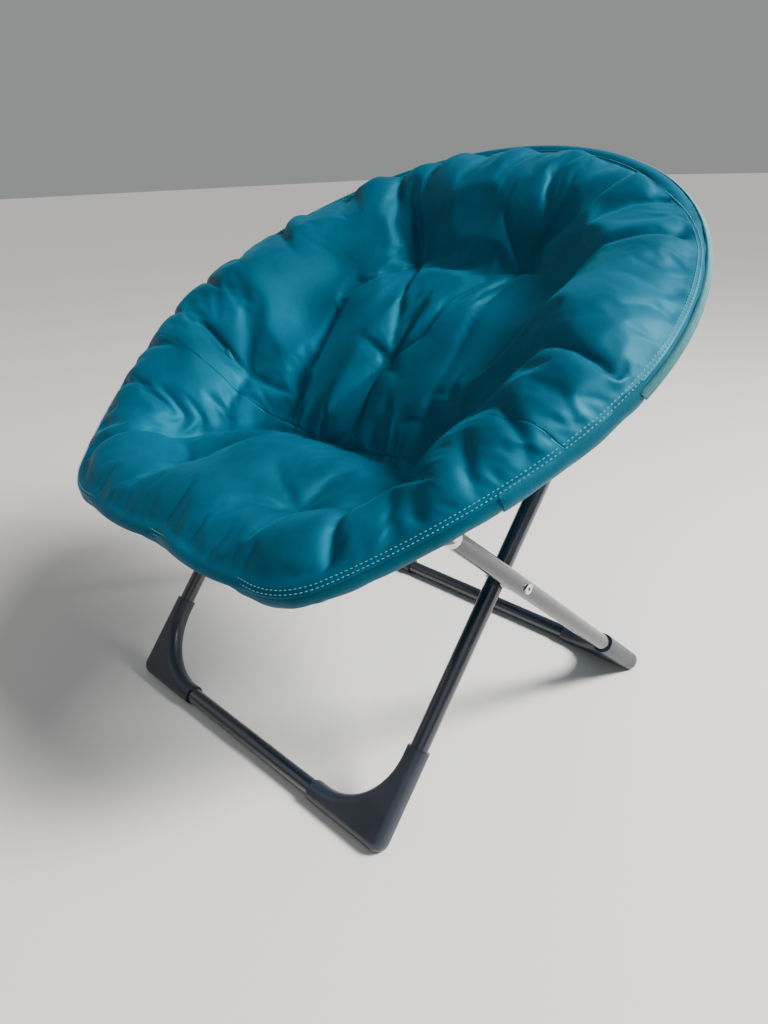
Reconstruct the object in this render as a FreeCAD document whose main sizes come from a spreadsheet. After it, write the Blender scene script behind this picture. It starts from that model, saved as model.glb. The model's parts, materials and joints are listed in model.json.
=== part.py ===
"""Folding saucer chair: a padded round seat on two hinged hoops, carried by two crossed leg frames.

Millimetres, +Z up, +X to the right as seen from the front, +Y towards the back. The origin is on
the floor, under the middle of the chair's box.
"""
import FreeCAD, Part
import os
from math import asin, cos, hypot, radians, sin, sqrt

import Sketcher

os.makedirs("parts", exist_ok=True)
doc = FreeCAD.newDocument("saucer_chair")
V = FreeCAD.Vector
ACROSS = V(1, 0, 0)

# ---------------------------------------------------------------- driving dimensions

DIMENSIONS = [
    # frame tube
    ("tube_radius", 11.0, "outside radius of every frame tube"),
    ("tube_wall", 1.2, "wall of every frame tube"),
    # leg frames
    ("base_depth", 503.5, "between the two floor bars, axis to axis"),
    ("front_lean", 50.5, "front leg frame to the floor, degrees"),
    ("rear_lean", 41.1, "rear leg frame to the floor, degrees"),
    ("front_half_width", 249.0, "middle plane to a front leg's axis"),
    ("leg_gap", 10.0, "between a front leg and the rear leg beside it"),
    ("axis_height", 12.5, "floor to a floor bar's axis"),
    # moulded corners
    ("corner_radius", 13.5, "half the thickness of a moulded corner"),
    ("corner_arm", 112.0, "corner's arm, from the corner of the tube axes"),
    ("corner_inner_bend", 86.0, "concave inner edge of the corner"),
    ("corner_outer_bend", 15.0, "outer edge of the corner"),
    ("corner_edge_round", 12.0, "rounding of the corner's long edges"),
    ("corner_edge_flat", 1.0, "least flat left between two such roundings"),
    ("socket_depth", 45.0, "tube pushed into the corner's arm"),
    ("socket_fit", 0.1, "radial clearance of a tube in its socket"),
    # ring of two hoops
    ("ring_tilt", 29.3, "ring plane to the floor, degrees"),
    ("ring_height", 507.0, "ring plane's height above the point ring_back"),
    ("ring_back", 225.0, "that point, behind the front floor bar"),
    ("hoop_radius", 385.0, "back hoop's centreline"),
    ("hoop_centre", 45.0, "back hoop's centre, up the ring plane"),
    ("front_bar", 336.6, "front hoop's straight bar, down the ring plane"),
    ("side_bend", 780.0, "front hoop's side"),
    ("front_bend", 90.0, "front hoop's corner"),
    ("hinge_land", 30.0, "hoop tube's end to the hoop hinge"),
    # straps, pivots and fasteners
    ("front_drop", 32.0, "rear leg's upper pivot below the ring plane"),
    ("back_drop", 28.0, "front leg's upper pivot below the ring plane"),
    ("strap_thick", 4.0, "hanger strap's thickness"),
    ("strap_half", 8.0, "hanger strap's half width"),
    ("strap_gap", 1.5, "between a leg and the strap beside it"),
    ("tab_thick", 3.0, "flattened hoop end's thickness"),
    ("tab_half", 7.5, "flattened hoop end's half width"),
    ("tab_gap", 0.3, "from the hinge plane to a flattened end"),
    ("tab_overlap", 5.0, "flattened end's run into its tube"),
    ("leg_over", 11.0, "leg's end past its upper pivot"),
    ("bolt_radius", 3.0, "upper pivot bolts"),
    ("rivet_radius", 4.0, "scissor rivet's shank"),
    ("rivet_bore", 2.4, "scissor rivet's hole"),
    ("head_radius", 6.5, "rivet's rolled head"),
    ("head_thick", 1.8, "head's thickness"),
    ("bolt_head", 5.5, "head of an upper pivot bolt or a hinge rivet"),
    ("saddle_head", 4.5, "head of a saddle's rivet"),
    ("washer_radius", 7.5, "washer beside a front leg's upper end"),
    ("spacer_radius", 10.0, "spacer between the legs at the scissor pivot"),
    ("pin_fit", 0.06, "radial clearance of a pin in its hole"),
    ("face_gap", 0.2, "between a head or washer and the piece beside it"),
    # ends of the legs
    ("cap_stem", 6.0, "end cap's plug, inside the leg"),
    ("cap_flange", 2.0, "end cap's rim"),
    ("cap_dome", 3.0, "end cap's dome, above its rim"),
    ("saddle_below", 22.0, "upper pivot to the leg's end, where the saddle's collar starts"),
    ("saddle_stem", 18.0, "saddle's plug, inside the leg"),
    ("saddle_scoop", 7.0, "radius of the hollow in the saddle's end"),
    ("scoop_rise", 1.0, "that hollow's centre, past the end"),
    # cloth
    ("cloth_fit", 0.3, "between a tube and the sleeve round it"),
    ("sleeve_wall", 2.0, "hem sleeve's thickness"),
    ("flap_wall", 1.6, "hinge flap's thickness"),
    ("flap_gap", 4.0, "between a tube and the hinge flap round it"),
    ("back_sleeve_start", 95.0, "hinge to the back sleeve's end"),
    ("front_sleeve_start", 62.0, "hinge to the front sleeve's end"),
    ("flap_margin", 4.0, "between a hinge flap and the sleeve beside it"),
    ("window_side", 3.0, "sleeve's window, past each face of the strap"),
    ("window_end", 22.0, "sleeve's window, past each edge of the strap"),
    ("pad_gap", 6.5, "between a sleeve and the pad's rim"),
    ("rim_up", 8.0, "pad's rim above the ring plane"),
    ("rim_down", 8.0, "pad's rim below the ring plane"),
    ("seat_depth", 95.0, "ring plane to the seat at its deepest"),
    ("pad_thick", 35.0, "pad's thickness at the crease"),
    ("pad_split", 0.3, "half the gap between the two pads"),
]

sheet = doc.addObject("Spreadsheet::Sheet", "dims")
for row, (alias, value, meaning) in enumerate(DIMENSIONS, start=1):
    sheet.set(f"A{row}", alias)
    sheet.set(f"B{row}", str(value))
    sheet.set(f"C{row}", meaning)
    sheet.setAlias(f"B{row}", alias)
doc.recompute()


def size(alias):
    """The value of one driving dimension."""
    return float(sheet.get(alias))


# ---------------------------------------------------------------- places worked out from them

tube_radius = size("tube_radius")
leg_pitch = 2 * tube_radius + size("leg_gap")
rear_half_width = size("front_half_width") + leg_pitch
tilt = radians(size("ring_tilt"))
hoop_radius = size("hoop_radius")
hoop_centre = size("hoop_centre")


def ring_side(along, below=0.0):
    """Side view (y, z), behind the front floor bar, of a point of the ring plane or below it."""
    y = size("ring_back") + along * cos(tilt) + below * sin(tilt)
    z = size("ring_height") + along * sin(tilt) - below * cos(tilt)
    return y, z


def ring_local(y, z):
    """The reverse: (along, below) of a side-view point."""
    dy = y - size("ring_back")
    dz = z - size("ring_height")
    return dy * cos(tilt) + dz * sin(tilt), dy * sin(tilt) - dz * cos(tilt)


def leg_length_to(start_y, lean, below):
    """Length up a leg, from its floor bar, to where it is this far below the ring plane."""
    foot = ring_local(start_y, size("axis_height"))[1]
    step = ring_local(start_y + cos(lean), size("axis_height") + sin(lean))[1] - foot
    return (below - foot) / step


front_lean = radians(size("front_lean"))
rear_lean = radians(180 - size("rear_lean"))
scissor = sin(radians(size("front_lean") + size("rear_lean")))
front_to_pivot = size("base_depth") * sin(rear_lean) / scissor
rear_to_pivot = size("base_depth") * sin(front_lean) / scissor
front_to_hanger = leg_length_to(0.0, front_lean, size("back_drop"))
rear_to_hanger = leg_length_to(size("base_depth"), rear_lean, size("front_drop"))


def on_leg(start_y, lean, length):
    return start_y + length * cos(lean), size("axis_height") + length * sin(lean)


pivot = on_leg(0.0, front_lean, front_to_pivot)
back_hanger = on_leg(0.0, front_lean, front_to_hanger)
front_hanger = on_leg(size("base_depth"), rear_lean, rear_to_hanger)


def flat_fold_hinge():
    """Where the hoops hinge, along the ring plane, so that the four pivots close onto one line."""
    reach = hypot(back_hanger[0] - pivot[0], back_hanger[1] - pivot[1])
    reach -= hypot(front_hanger[0] - pivot[0], front_hanger[1] - pivot[1])
    low = ring_local(*front_hanger)[0]
    high = ring_local(*back_hanger)[0]
    for _ in range(60):
        middle = (low + high) / 2
        y, z = ring_side(middle)
        to_back = hypot(back_hanger[0] - y, back_hanger[1] - z)
        to_front = hypot(front_hanger[0] - y, front_hanger[1] - z)
        if to_back - to_front > reach:
            low = middle
        else:
            high = middle
    return (low + high) / 2


hinge_along = flat_fold_hinge()
hinge_across = sqrt(hoop_radius ** 2 - (hinge_along - hoop_centre) ** 2)
hinge_heading = asin((hoop_centre - hinge_along) / hoop_radius)
hinge = ring_side(hinge_along)

# The front hoop runs on from the hinge: a long side arc, a corner arc and a straight bar.
side_bend = size("side_bend")
front_bend = size("front_bend")
bar_reach = size("front_bar") + hinge_along
corner_sine = (bar_reach - front_bend + side_bend * sin(hinge_heading)) / (side_bend - front_bend)
corner_heading = asin(corner_sine)
bar_half = hinge_across - side_bend * (cos(hinge_heading) - cos(corner_heading))
bar_half -= front_bend * cos(corner_heading)
side_centre = (hinge_across - side_bend * cos(hinge_heading), hinge_along + side_bend * sin(hinge_heading))
bend_centre = (bar_half, front_bend - size("front_bar"))

front_edge = ring_side(-size("front_bar"))[0]
back_edge = ring_side(hoop_centre + hoop_radius)[0]
middle_y = (front_edge + back_edge) / 2


def front_hoop_point(heading, inset=0.0):
    """A point of the front hoop's centreline, or inside it, where it turns to this heading."""
    if heading < corner_heading:
        centre, bend = side_centre, side_bend
    else:
        centre, bend = bend_centre, front_bend
    return centre[0] + (bend - inset) * cos(heading), centre[1] - (bend - inset) * sin(heading)


def front_half_width_at(along, inset):
    """Half the width inside the front hoop, this far down the ring plane."""
    side_sine = (side_centre[1] - along) / (side_bend - inset)
    if side_sine < sin(corner_heading):
        return side_centre[0] + (side_bend - inset) * sqrt(1 - side_sine ** 2)
    bend_sine = min((bend_centre[1] - along) / (front_bend - inset), 1.0)
    return bend_centre[0] + (front_bend - inset) * sqrt(1 - bend_sine ** 2)


def back_half_width_at(along, inset):
    return sqrt((hoop_radius - inset) ** 2 - (along - hoop_centre) ** 2)


# ---------------------------------------------------------------- frames of reference

def leaning(start_y, degrees):
    """A leg frame's own axes: X across, Y up the legs, at the floor bar."""
    return FreeCAD.Placement(V(0, start_y - middle_y, size("axis_height")), FreeCAD.Rotation(ACROSS, degrees))


FRONT_FRAME = leaning(0.0, size("front_lean"))
REAR_FRAME = leaning(size("base_depth"), 180 - size("rear_lean"))
RING_FRAME = FreeCAD.Placement(
    V(0, size("ring_back") - middle_y, size("ring_height")), FreeCAD.Rotation(ACROSS, size("ring_tilt"))
)


def shifted(frame, x, y=0.0, z=0.0):
    return frame.multiply(FreeCAD.Placement(V(x, y, z), FreeCAD.Rotation()))


def crossing(point, x=0.0):
    """Upright axes at a side-view point: X across."""
    return FreeCAD.Placement(V(x, point[0] - middle_y, point[1]), FreeCAD.Rotation())


# ---------------------------------------------------------------- modelling helpers

def new_body(name, placement):
    body = doc.addObject("PartDesign::Body", name)
    body.Placement = placement
    return body


def new_sketch(body, name, role, offset=0.0):
    """A sketch on one of the body's own origin planes, moved along the plane's normal."""
    sketch = body.newObject("Sketcher::SketchObject", name)
    plane = next(item for item in body.Origin.OriginFeatures if item.Role == role)
    sketch.AttachmentSupport = [(plane, "")]
    sketch.MapMode = "FlatFace"
    sketch.AttachmentOffset = FreeCAD.Placement(V(0, 0, offset), FreeCAD.Rotation())
    return sketch


def add_circle(sketch, radius, expression, x=0.0, y=0.0):
    """A circle whose radius is bound to the sheet."""
    index = sketch.addGeometry(Part.Circle(V(x, y, 0), V(0, 0, 1), radius), False)
    if x == 0 and y == 0:
        sketch.addConstraint(Sketcher.Constraint("Coincident", index, 3, -1, 1))
    else:
        sketch.addConstraint(Sketcher.Constraint("DistanceX", -1, 1, index, 3, x))
        sketch.addConstraint(Sketcher.Constraint("DistanceY", -1, 1, index, 3, y))
    name = f"radius_{index}"
    number = sketch.addConstraint(Sketcher.Constraint("Radius", index, radius))
    sketch.renameConstraint(number, name)
    sketch.setExpression(f"Constraints.{name}", expression)
    return index


def add_outline(sketch, edges):
    """A closed outline: each edge starts where the one before it ends."""
    for edge in edges:
        sketch.addGeometry(edge, False)


def add_polygon(sketch, corners):
    """A closed outline of straight edges."""
    ends = corners[1:] + corners[:1]
    add_outline(sketch, [Part.LineSegment(start, end) for start, end in zip(corners, ends)])


def add_ring_section(sketch, inner, outer):
    """Two circles on the sketch's origin; inner and outer are expressions for their radii."""
    evaluated = [sheet.evalExpression(text) for text in (inner, outer)]
    radii = [float(getattr(value, "Value", value)) for value in evaluated]
    add_circle(sketch, radii[0], inner)
    add_circle(sketch, radii[1], outer)


def pad(body, sketch, length, expression=None, symmetric=False, reverse=False):
    feature = body.newObject("PartDesign::Pad", sketch.Name + "_pad")
    feature.Profile = sketch
    feature.Length = length
    feature.Midplane = symmetric
    feature.Reversed = reverse
    if expression:
        feature.setExpression("Length", expression)
    return feature


def pocket(body, sketch, depth=None, reverse=False):
    """A pocket of this depth, or right through on both sides. It has to remove something."""
    doc.recompute()
    before = body.Shape.Volume
    feature = body.newObject("PartDesign::Pocket", sketch.Name + "_pocket")
    feature.Profile = sketch
    if depth is None:
        feature.Type = 1
        feature.Midplane = True
    else:
        feature.Length = depth
        feature.Reversed = reverse
    doc.recompute()
    if body.Shape.Volume > before - 1e-3:
        raise RuntimeError(f"{feature.Name} cuts nothing")
    return feature


def pipe(body, path, inner, outer, name):
    """A hollow tube along the path sketch, with its section set square on the path's first edge."""
    section = body.newObject("Sketcher::SketchObject", name + "_section")
    section.AttachmentSupport = [(path, "Edge1")]
    section.MapMode = "NormalToEdge"
    section.MapPathParameter = 0.0
    add_ring_section(section, inner, outer)
    doc.recompute()
    feature = body.newObject("PartDesign::AdditivePipe", name + "_pipe")
    feature.Profile = section
    feature.Spine = (path, [f"Edge{number + 1}" for number in range(path.GeometryCount)])
    feature.Mode = "Frenet"
    doc.recompute()
    return feature


def mirrored(source, name):
    copy = doc.addObject("Part::Mirroring", name)
    copy.Source = source
    copy.Normal = ACROSS
    return copy


nodes = []


def keep(item, name):
    """Names a sub-part; its Label is its file's name."""
    item.Label = name
    nodes.append(item)
    return item


def keep_pair(item, left, right):
    keep(mirrored(item, left), left)
    keep(item, right)


def keep_both(item, name):
    """One node that holds the piece and its mirror image as separate solids."""
    group = doc.addObject("Part::Compound", name)
    group.Links = [item, mirrored(item, name + "_mirrored")]
    keep(group, name)


# ---------------------------------------------------------------- leg frames

def make_floor_bar(name, frame, half_width_text):
    body = new_body(name, frame)
    section = new_sketch(body, name + "_section", "YZ_Plane")
    add_ring_section(section, "dims.tube_radius - dims.tube_wall", "dims.tube_radius")
    pad(body, section, 1.0, f"2 * ({half_width_text} - dims.corner_arm + dims.socket_depth)", symmetric=True)
    keep(body, name)


def make_leg(side_names, frame, half_width, hole_at, end_at):
    """A straight tube up the local Y axis, from inside its corner to its upper end."""
    name = side_names[1] + "_body"
    body = new_body(name, shifted(frame, half_width))
    start = size("corner_arm") - size("socket_depth")
    section = new_sketch(body, name + "_section", "XZ_Plane", -start)
    add_ring_section(section, "dims.tube_radius - dims.tube_wall", "dims.tube_radius")
    pad(body, section, end_at - start, reverse=True)
    for number, (along, radius) in enumerate(hole_at):
        hole = new_sketch(body, f"{name}_hole_{number}", "YZ_Plane")
        add_circle(hole, size(radius) + size("pin_fit"), f"dims.{radius} + dims.pin_fit", along, 0.0)
        pocket(body, hole)
    keep_pair(body, *side_names)


def make_corner(side_names, frame, half_width, lean):
    """Moulded corner: two sockets with a web between them, flat where it meets the floor."""
    name = side_names[1] + "_body"
    body = new_body(name, shifted(frame, half_width))
    half = size("corner_radius")
    arm = size("corner_arm")
    inner = size("corner_inner_bend")
    outer = size("corner_outer_bend")
    sine = sin(radians(45))
    outline = new_sketch(body, name + "_outline", "XY_Plane")
    inner_mid = half + inner - inner * sine
    outer_mid = half - outer + outer * sine
    add_outline(outline, [
        Part.LineSegment(V(-arm, -half, 0), V(half - outer, -half, 0)),
        Part.Arc(V(half - outer, -half, 0), V(outer_mid, -outer_mid, 0), V(half, outer - half, 0)),
        Part.LineSegment(V(half, outer - half, 0), V(half, arm, 0)),
        Part.LineSegment(V(half, arm, 0), V(-half, arm, 0)),
        Part.LineSegment(V(-half, arm, 0), V(-half, half + inner, 0)),
        Part.Arc(V(-half, half + inner, 0), V(-inner_mid, inner_mid, 0), V(-half - inner, half, 0)),
        Part.LineSegment(V(-half - inner, half, 0), V(-arm, half, 0)),
        Part.LineSegment(V(-arm, half, 0), V(-arm, -half, 0)),
    ])
    web = pad(body, outline, 2 * half, "2 * dims.corner_radius", symmetric=True)
    doc.recompute()

    def is_long_edge(edge):
        middle = edge.valueAt((edge.FirstParameter + edge.LastParameter) / 2)
        on_face = abs(abs(middle.z) - half) < 1e-3
        at_mouth = abs(middle.x + arm) < 1e-3 or abs(middle.y - arm) < 1e-3
        return on_face and not at_mouth

    long_edges = [
        f"Edge{number}" for number, edge in enumerate(web.Shape.Edges, start=1) if is_long_edge(edge)
    ]
    rounding = body.newObject("PartDesign::Fillet", name + "_rounding")
    rounding.Base = (web, long_edges)
    rounding.Radius = size("corner_edge_round")
    rounding.setExpression("Radius", "min(dims.corner_edge_round; dims.corner_radius - dims.corner_edge_flat)")
    doc.recompute()
    for plane, offset, reverse in (("XZ_Plane", -arm, True), ("YZ_Plane", -arm, True)):
        socket = new_sketch(body, f"{name}_socket_{plane[0]}", plane, offset)
        add_circle(socket, tube_radius + size("socket_fit"), "dims.tube_radius + dims.socket_fit")
        pocket(body, socket, size("socket_depth"), reverse)
    # The floor, seen along the bar: a half plane at axis_height below the bar's axis.
    floor_cut = new_sketch(body, name + "_floor", "YZ_Plane")
    down = V(-sin(lean), -cos(lean), 0)
    along = V(cos(lean), -sin(lean), 0)
    near = down * size("axis_height")
    deep = down * (size("axis_height") + 2 * arm)
    reach = along * 2 * arm
    add_polygon(floor_cut, [near - reach, near + reach, deep + reach, deep - reach])
    pocket(body, floor_cut)
    keep_pair(body, *side_names)


def make_end_cap(name, frame, half_width, end_at):
    """Dome-ended plug in the open end of a leg."""
    body = new_body(name + "_body", shifted(frame, half_width, end_at))
    stem = tube_radius - size("tube_wall") - size("socket_fit")
    flange = size("cap_flange")
    dome = size("cap_dome")
    ball = (tube_radius ** 2 + dome ** 2) / (2 * dome)
    quarter = asin(tube_radius / ball) / 2
    top = V(0, flange + dome, 0)
    shoulder = V(tube_radius, flange, 0)
    half_way = V(ball * sin(quarter), top.y - ball * (1 - cos(quarter)), 0)
    low = V(0, -size("cap_stem"), 0)
    corners = [low, V(stem, low.y, 0), V(stem, 0, 0), V(tube_radius, 0, 0), shoulder]
    edges = [Part.LineSegment(start, end) for start, end in zip(corners, corners[1:])]
    edges.append(Part.Arc(shoulder, half_way, top))
    edges.append(Part.LineSegment(top, low))
    profile = new_sketch(body, name + "_profile", "XY_Plane")
    add_outline(profile, edges)
    turn = body.newObject("PartDesign::Revolution", name + "_turn")
    turn.Profile = profile
    turn.ReferenceAxis = (profile, ["V_Axis"])
    turn.Angle = 360
    keep_both(body, name)


def make_saddle(name, frame, half_width, hole_at):
    """White end fitting of a rear leg: a plug and a collar with a scooped, saddle-shaped end."""
    body = new_body(name + "_body", shifted(frame, half_width, hole_at))
    below = size("saddle_below")
    plug = new_sketch(body, name + "_plug", "XZ_Plane", below)
    add_circle(
        plug, tube_radius - size("tube_wall") - size("socket_fit"),
        "dims.tube_radius - dims.tube_wall - dims.socket_fit",
    )
    pad(body, plug, size("saddle_stem"), "dims.saddle_stem")
    collar = new_sketch(body, name + "_collar", "XZ_Plane", below)
    add_circle(collar, tube_radius, "dims.tube_radius")
    pad(body, collar, below + size("leg_over"), "dims.saddle_below + dims.leg_over", reverse=True)
    scoop = new_sketch(body, name + "_scoop", "YZ_Plane")
    add_circle(scoop, size("saddle_scoop"), "dims.saddle_scoop", size("leg_over") + size("scoop_rise"))
    pocket(body, scoop)
    hole = new_sketch(body, name + "_hole", "YZ_Plane")
    add_circle(hole, size("bolt_radius") + size("pin_fit"), "dims.bolt_radius + dims.pin_fit")
    pocket(body, hole)
    keep_both(body, name)


make_floor_bar("front_floor_bar", FRONT_FRAME, "dims.front_half_width")
make_leg(
    ("front_leg_left", "front_leg_right"), FRONT_FRAME, size("front_half_width"),
    [(front_to_pivot, "rivet_radius"), (front_to_hanger, "bolt_radius")],
    front_to_hanger + size("leg_over"),
)
make_corner(("front_corner_left", "front_corner_right"), FRONT_FRAME, size("front_half_width"), front_lean)
make_end_cap("front_leg_caps", FRONT_FRAME, size("front_half_width"), front_to_hanger + size("leg_over"))

make_floor_bar(
    "rear_floor_bar", REAR_FRAME, "(dims.front_half_width + 2 * dims.tube_radius + dims.leg_gap)"
)
make_leg(
    ("rear_leg_left", "rear_leg_right"), REAR_FRAME, rear_half_width,
    [(rear_to_pivot, "rivet_radius")], rear_to_hanger - size("saddle_below"),
)
make_corner(("rear_corner_left", "rear_corner_right"), REAR_FRAME, rear_half_width, rear_lean)
make_saddle("rear_leg_saddles", REAR_FRAME, rear_half_width, rear_to_hanger)

# ---------------------------------------------------------------- rivets, bolts and washers

def make_fastener(name, point, start, end, shank, head, bore=0.0, heads=("start", "end")):
    """A rivet or bolt across the chair, from x = start to x = end between its heads."""
    body = new_body(name + "_body", crossing(point))
    thick = size("head_thick")
    profile = new_sketch(body, name + "_profile", "XY_Plane")
    corners = [V(start, bore, 0), V(start, shank, 0), V(end, shank, 0), V(end, bore, 0)]
    if "start" in heads:
        corners[0:1] = [V(start - thick, bore, 0), V(start - thick, head, 0), V(start, head, 0)]
    if "end" in heads:
        corners[-1:] = [V(end, head, 0), V(end + thick, head, 0), V(end + thick, bore, 0)]
    add_polygon(profile, corners)
    turn = body.newObject("PartDesign::Revolution", name + "_turn")
    turn.Profile = profile
    turn.ReferenceAxis = (profile, ["H_Axis"])
    turn.Angle = 360
    keep_both(body, name)


def make_washer(name, point, start, end, inner, outer):
    body = new_body(name + "_body", crossing(point))
    section = new_sketch(body, name + "_section", "YZ_Plane", start)
    add_ring_section(section, inner, outer)
    pad(body, section, end - start)
    keep_both(body, name)


front_in = size("front_half_width") - tube_radius
front_out = size("front_half_width") + tube_radius
rear_in = rear_half_width - tube_radius
rear_out = rear_half_width + tube_radius
face_gap = size("face_gap")
strap_thick = size("strap_thick")
back_strap_in = front_out + size("strap_gap")
front_strap_in = rear_out + size("strap_gap")

make_fastener(
    "pivot_rivets", pivot, front_in - face_gap, rear_out + face_gap,
    size("rivet_radius"), size("head_radius"), size("rivet_bore"),
)
make_washer(
    "pivot_spacers", pivot, front_out + face_gap, rear_in - face_gap,
    "dims.rivet_radius + dims.pin_fit", "dims.spacer_radius",
)
make_fastener(
    "back_strap_bolts", back_hanger, front_in - face_gap, back_strap_in + strap_thick + face_gap,
    size("bolt_radius"), size("bolt_head"),
)
make_washer(
    "back_strap_washers", back_hanger, front_out + face_gap, back_strap_in - face_gap,
    "dims.bolt_radius + dims.pin_fit", "dims.washer_radius",
)
make_fastener(
    "saddle_rivets", front_hanger, rear_in - face_gap, rear_out + face_gap,
    size("bolt_radius"), size("saddle_head"), heads=("start",),
)
make_fastener(
    "front_strap_studs", front_hanger, front_strap_in, front_strap_in + strap_thick + face_gap,
    size("bolt_radius"), size("bolt_head"), heads=("end",),
)
make_fastener(
    "hinge_rivets", hinge, hinge_across - size("tab_gap") - size("tab_thick") - face_gap,
    hinge_across + size("tab_gap") + size("tab_thick") + face_gap,
    size("bolt_radius"), size("bolt_head"),
)

# ---------------------------------------------------------------- hoops and their straps

def name_size(sketch, constraint, name, expression):
    number = sketch.addConstraint(constraint)
    sketch.renameConstraint(number, name)
    sketch.setExpression(f"Constraints.{name}", expression)


def back_path(body, name, from_hinge):
    """The back hoop's centreline, starting this far from the hinge on both sides."""
    sketch = new_sketch(body, name, "XY_Plane")
    start = -hinge_heading + from_hinge / hoop_radius
    ends = [
        V(sign * hoop_radius * cos(start), hoop_centre + hoop_radius * sin(start), 0) for sign in (1, -1)
    ]
    sketch.addGeometry(Part.Arc(ends[0], V(0, hoop_centre + hoop_radius, 0), ends[1]), False)
    sketch.addConstraint(Sketcher.Constraint("PointOnObject", 0, 3, -2))
    name_size(sketch, Sketcher.Constraint("Radius", 0, hoop_radius), "bend", "dims.hoop_radius")
    name_size(sketch, Sketcher.Constraint("DistanceY", -1, 1, 0, 3, hoop_centre), "centre", "dims.hoop_centre")
    return sketch


def front_path(body, name, from_hinge):
    """The front hoop's centreline: side, corner, bar, corner, side."""
    sketch = new_sketch(body, name, "XY_Plane")
    start = hinge_heading + from_hinge / side_bend
    headings = [start, (start + corner_heading) / 2, corner_heading, (corner_heading + radians(90)) / 2]
    right = [V(*front_hoop_point(heading), 0) for heading in headings]
    right[2] = V(side_centre[0] + side_bend * cos(corner_heading), side_centre[1] - side_bend * corner_sine, 0)
    right.append(V(bar_half, -size("front_bar"), 0))
    left = [V(-point.x, point.y, 0) for point in right]
    for edge in (
        Part.Arc(right[0], right[1], right[2]),
        Part.Arc(right[2], right[3], right[4]),
        Part.LineSegment(right[4], left[4]),
        Part.Arc(left[4], left[3], left[2]),
        Part.Arc(left[2], left[1], left[0]),
    ):
        sketch.addGeometry(edge, False)
    for index, bend in ((0, "side_bend"), (1, "front_bend"), (3, "front_bend"), (4, "side_bend")):
        name_size(sketch, Sketcher.Constraint("Radius", index, size(bend)), f"bend_{index}", f"dims.{bend}")
    sketch.addConstraint(Sketcher.Constraint("Horizontal", 2))
    return sketch


def add_tab(body, name, toward, outside, sign):
    """The flattened end of a hoop: a round-ended plate beside the hinge plane.

    toward is the hoop's way along the ring plane, outside puts the plate beyond the hinge plane,
    and sign is the side of the chair.
    """
    half = size("tab_half")
    thick = size("tab_thick")
    inner = hinge_across + size("tab_gap") if outside else hinge_across - size("tab_gap") - thick
    plate = new_sketch(body, name, "YZ_Plane", inner if sign > 0 else -inner - thick)
    reach = toward * (size("hinge_land") + size("tab_overlap"))
    pin = V(hinge_along, 0, 0)
    far = V(hinge_along + reach, 0, 0)
    up = V(0, half, 0)
    add_outline(plate, [
        Part.Arc(pin + up, pin - V(toward * half, 0, 0), pin - up),
        Part.LineSegment(pin - up, far - up),
        Part.LineSegment(far - up, far + up),
        Part.LineSegment(far + up, pin + up),
    ])
    pad(body, plate, thick, "dims.tab_thick")


def make_hoop(name, path_maker, toward, outside):
    body = new_body(name, RING_FRAME)
    path = path_maker(body, name + "_path", size("hinge_land"))
    doc.recompute()
    pipe(body, path, "dims.tube_radius - dims.tube_wall", "dims.tube_radius", name)
    add_tab(body, name + "_right_tab", toward, outside, 1)
    add_tab(body, name + "_left_tab", toward, outside, -1)
    hole = new_sketch(body, name + "_rivet_hole", "YZ_Plane")
    add_circle(
        hole, size("bolt_radius") + size("pin_fit"), "dims.bolt_radius + dims.pin_fit", hinge_along, 0.0
    )
    pocket(body, hole)
    keep(body, name)


def make_strap(name, hanger, inner, tube_along, bend, bend_centre_xy):
    """A flat strap from a leg's upper pivot to the hoop tube above it, coped to fit round the tube."""
    along, below = ring_local(*hanger)
    half = size("strap_half")
    body = new_body(name + "_blank", RING_FRAME)
    plate = new_sketch(body, name + "_plate", "YZ_Plane", inner)
    low = V(along, -below, 0)
    high = V(tube_along, 0, 0)
    run = (high - low).normalize()
    square = V(-run.y, run.x, 0) * half
    add_outline(plate, [
        Part.Arc(low + square, low - run * half, low - square),
        Part.LineSegment(low - square, high - square),
        Part.LineSegment(high - square, high + square),
        Part.LineSegment(high + square, low + square),
    ])
    pad(body, plate, strap_thick, "dims.strap_thick")
    hole = new_sketch(body, name + "_hole", "YZ_Plane")
    add_circle(
        hole, size("bolt_radius") + size("pin_fit"), "dims.bolt_radius + dims.pin_fit", along, -below
    )
    pocket(body, hole)
    tube = doc.addObject("Part::Torus", name + "_tube")
    tube.Radius1 = bend
    tube.setExpression("Radius2", "dims.tube_radius")
    tube.Placement = shifted(RING_FRAME, *bend_centre_xy)
    coped = doc.addObject("Part::Cut", name + "_coped")
    coped.Base = body
    coped.Tool = tube
    keep_both(coped, name)


make_hoop("back_hoop", back_path, 1, True)
make_hoop("front_hoop", front_path, -1, False)
back_strap_x = back_strap_in + strap_thick / 2
make_strap(
    "back_hoop_straps", back_hanger, back_strap_in,
    hoop_centre + sqrt(hoop_radius ** 2 - back_strap_x ** 2), hoop_radius, (0.0, hoop_centre),
)
front_strap_x = front_strap_in + strap_thick / 2
make_strap(
    "front_hoop_straps", front_hanger, front_strap_in,
    side_centre[1] - sqrt(side_bend ** 2 - (front_strap_x - side_centre[0]) ** 2), side_bend, side_centre,
)

# ---------------------------------------------------------------- cloth: sleeves, flaps and pads

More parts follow.
